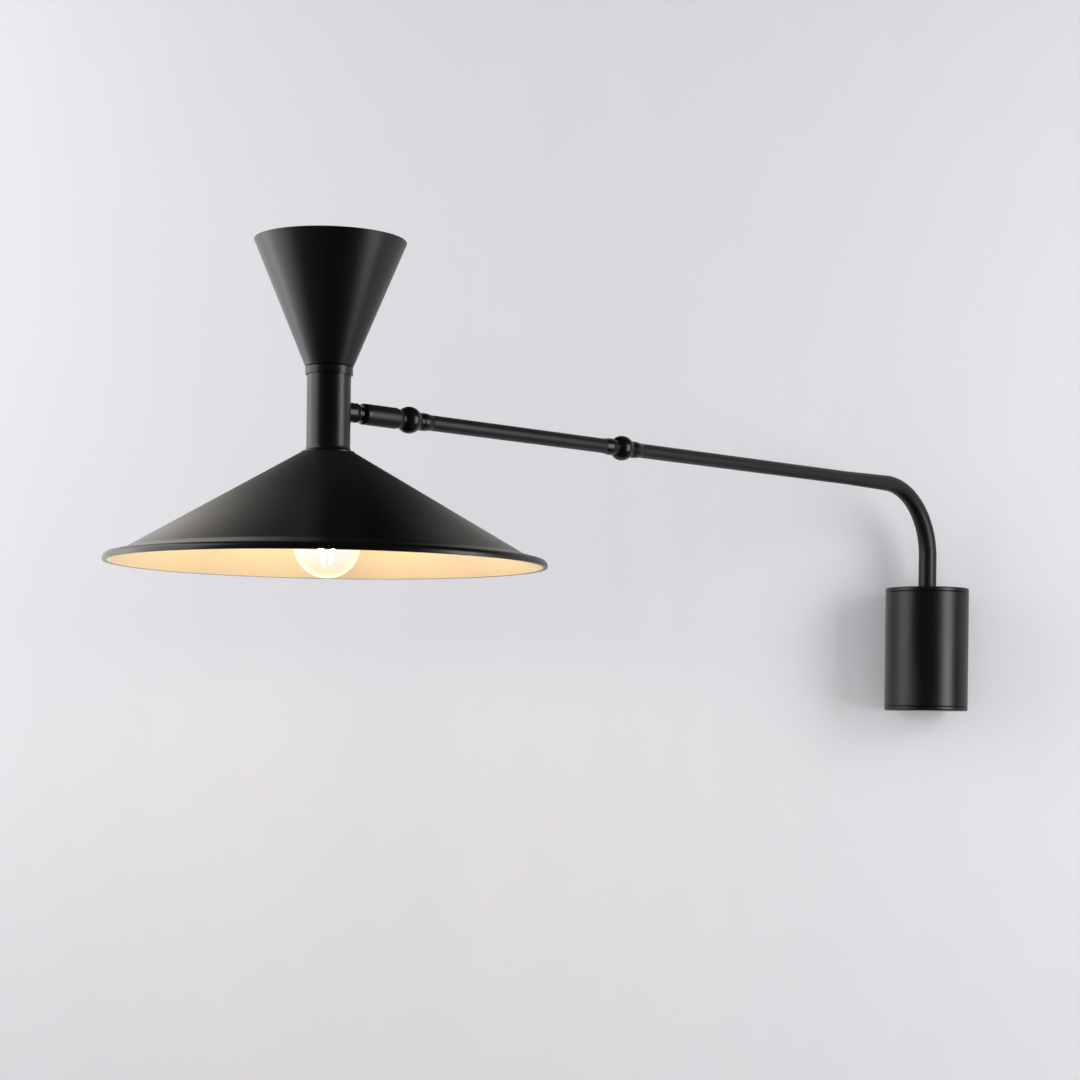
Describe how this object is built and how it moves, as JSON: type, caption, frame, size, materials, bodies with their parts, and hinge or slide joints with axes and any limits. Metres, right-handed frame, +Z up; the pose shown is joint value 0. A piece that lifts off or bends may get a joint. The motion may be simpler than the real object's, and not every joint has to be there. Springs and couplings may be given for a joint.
{
  "type": "swing arm wall lamp",
  "caption": "Wall lamp with a cylindrical base, a swinging bent-tube arm with ball knuckles, and a head of a wide lower shade and a small upper cone on a stem.",
  "frame": {"origin": "on the wall, at the middle of the wall plate's back face", "axes": "+X to the right seen from the room, +Y into the wall, +Z up; at rest the arm points 45 degrees to the left of straight out from the wall"},
  "size_m": [0.6627, 0.6565, 0.3087],
  "materials": {
    "black_satin": "satin black powder coat",
    "black_gloss": "smoother black enamel on turned steel",
    "black_screw": "blackened steel",
    "zinc_steel": "zinc plated steel",
    "brass": "turned brass",
    "nylon": "natural nylon",
    "rubber": "black rubber",
    "porcelain": "glazed porcelain",
    "clear_glass": "clear bulb glass",
    "bulb_metal": "bare aluminium screw cap",
    "bulb_insulator": "dark insulator",
    "filament": "lit warm white filaments"
  },
  "bodies": {
    "base": {"wall_plate": "zinc_steel", "cable_grommet": "rubber", "terminal_block": "nylon", "terminal_screws": "brass", "earth_screw": "brass", "base_housing": "black_satin", "base_top_cap": "black_satin", "base_bottom_cap": "black_satin", "bottom_screw": "black_screw", "bearing_shelf": "zinc_steel", "stop_posts": "zinc_steel", "upper_bush": "nylon", "lower_bush": "nylon", "thrust_washer": "nylon"},
    "arm": {"post_spindle": "zinc_steel", "stop_pin": "zinc_steel", "friction_washer": "zinc_steel", "wave_washer": "zinc_steel", "spindle_nut": "zinc_steel", "arm_tube": "black_satin", "elbow_arm_half": "black_gloss"},
    "forearm": {"elbow_forearm_half": "black_gloss", "elbow_friction_ring": "rubber", "elbow_spring_washer": "zinc_steel", "elbow_screw": "black_screw", "forearm_tube": "black_satin", "wrist_forearm_half": "black_gloss"},
    "sleeve": {"wrist_sleeve_half": "black_gloss", "wrist_friction_ring": "rubber", "wrist_spring_washer": "zinc_steel", "wrist_screw": "black_screw", "swivel_sleeve": "black_satin", "sleeve_end_collar": "black_gloss"},
    "head": {"swivel_wave_washer": "zinc_steel", "swivel_lock_nut": "zinc_steel", "swivel_washer": "rubber", "stem_boss": "black_gloss", "swivel_spindle": "zinc_steel", "swivel_spindle_nut": "zinc_steel", "stem_tube": "black_satin", "ring_collar": "black_satin", "upper_cone": "black_satin", "lower_shade": "black_satin", "shade_ring": "zinc_steel", "centre_rod": "zinc_steel", "rod_washer": "zinc_steel", "rod_nut": "zinc_steel", "lampholder_cap": "zinc_steel", "lampholder_body": "porcelain", "lampholder_shell": "brass", "centre_contact": "brass", "bulb_globe": "clear_glass", "bulb_cap": "bulb_metal", "bulb_insulator": "bulb_insulator", "bulb_tip": "bulb_metal", "bulb_mount": "clear_glass", "bulb_filaments": "filament"}
  },
  "joints": [
    {"name": "arm_swing", "type": "hinge", "parent": "base", "child": "arm", "pos_m": [0, -0.03, 0.05], "axis": [0, 0, 1], "range_deg": [-33, 123]},
    {"name": "elbow", "type": "hinge", "parent": "arm", "child": "forearm", "pos_m": [-0.27386, -0.30386, 0.141], "axis": [-0.7071, 0.7071, 0], "range_deg": [-90, 90]},
    {"name": "wrist", "type": "hinge", "parent": "forearm", "child": "sleeve", "pos_m": [-0.42568, -0.45568, 0.141], "axis": [-0.7071, 0.7071, 0], "range_deg": [-45, 80]},
    {"name": "head_swivel", "type": "hinge", "parent": "sleeve", "child": "head", "pos_m": [-0.45962, -0.48962, 0.141], "axis": [-0.7071, -0.7071, 0], "range_deg": [-90, 90]}
  ]
}
